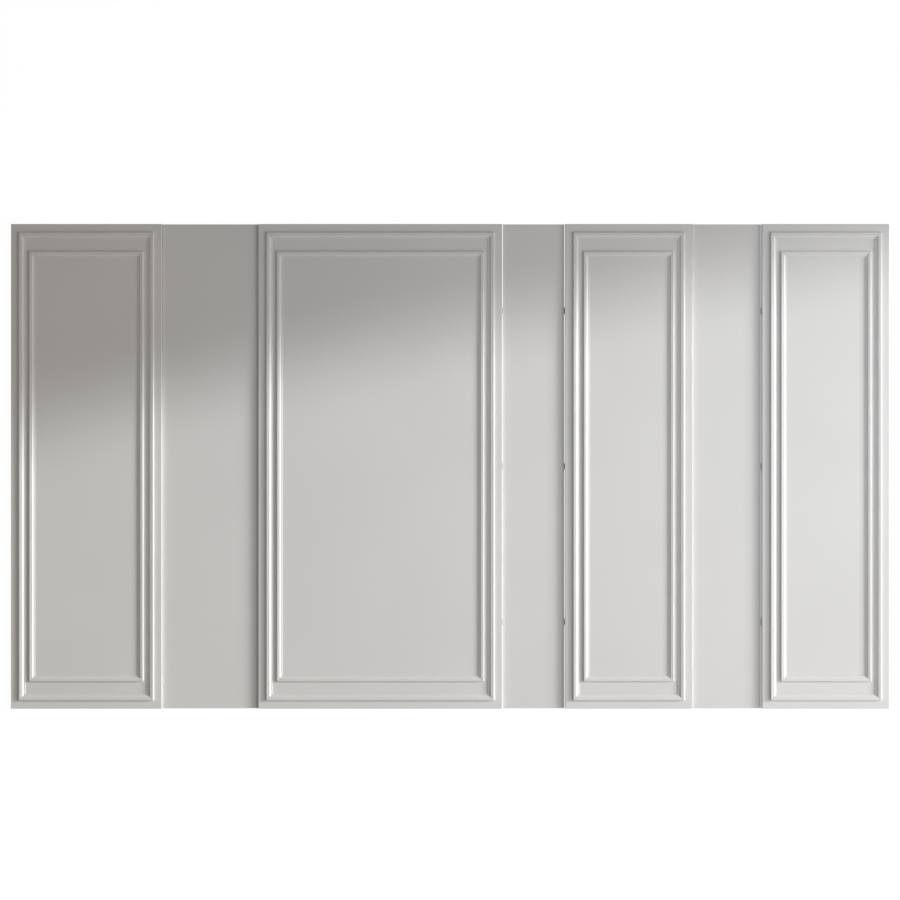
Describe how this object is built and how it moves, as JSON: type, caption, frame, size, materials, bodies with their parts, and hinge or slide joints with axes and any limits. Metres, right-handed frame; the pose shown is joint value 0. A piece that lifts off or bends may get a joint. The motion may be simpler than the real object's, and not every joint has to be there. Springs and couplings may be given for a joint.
{
  "type": "three-dimensional wall panel",
  "caption": "Painted wall panel of flat boards side by side, alternately plain and carrying a double frame of mitred moulding, with thin open joints between the boards.",
  "frame": {"origin": "middle of the panel's back, halfway across its width and halfway up its height", "axes": "+X across the panel's width, +Y up the wall, +Z out of its face"},
  "size_m": [5.074, 2.8, 0.034],
  "materials": {
    "painted_board": "satin warm grey-white paint on fibreboard",
    "painted_moulding": "satin warm grey-white paint on fibreboard",
    "tongue": "bare plywood"
  },
  "bodies": {
    "root": {"board_1_framed": "painted_board", "board_2_plain": "painted_board", "board_3_framed": "painted_board", "board_4_plain": "painted_board", "board_5_framed": "painted_board", "board_6_plain": "painted_board", "board_7_framed": "painted_board", "frame_1_inner_bottom": "painted_moulding", "frame_1_inner_left": "painted_moulding", "frame_1_inner_right": "painted_moulding", "frame_1_inner_top": "painted_moulding", "frame_1_outer_bottom": "painted_moulding", "frame_1_outer_left": "painted_moulding", "frame_1_outer_right": "painted_moulding", "frame_1_outer_top": "painted_moulding", "frame_3_inner_bottom": "painted_moulding", "frame_3_inner_left": "painted_moulding", "frame_3_inner_right": "painted_moulding", "frame_3_inner_top": "painted_moulding", "frame_3_outer_bottom": "painted_moulding", "frame_3_outer_left": "painted_moulding", "frame_3_outer_right": "painted_moulding", "frame_3_outer_top": "painted_moulding", "frame_5_inner_bottom": "painted_moulding", "frame_5_inner_left": "painted_moulding", "frame_5_inner_right": "painted_moulding", "frame_5_inner_top": "painted_moulding", "frame_5_outer_bottom": "painted_moulding", "frame_5_outer_left": "painted_moulding", "frame_5_outer_right": "painted_moulding", "frame_5_outer_top": "painted_moulding", "frame_7_inner_bottom": "painted_moulding", "frame_7_inner_left": "painted_moulding", "frame_7_inner_right": "painted_moulding", "frame_7_inner_top": "painted_moulding", "frame_7_outer_bottom": "painted_moulding", "frame_7_outer_left": "painted_moulding", "frame_7_outer_right": "painted_moulding", "frame_7_outer_top": "painted_moulding", "tongues_joint_1": "tongue", "tongues_joint_2": "tongue", "tongues_joint_3": "tongue", "tongues_joint_4": "tongue", "tongues_joint_5": "tongue", "tongues_joint_6": "tongue"}
  },
  "joints": []
}
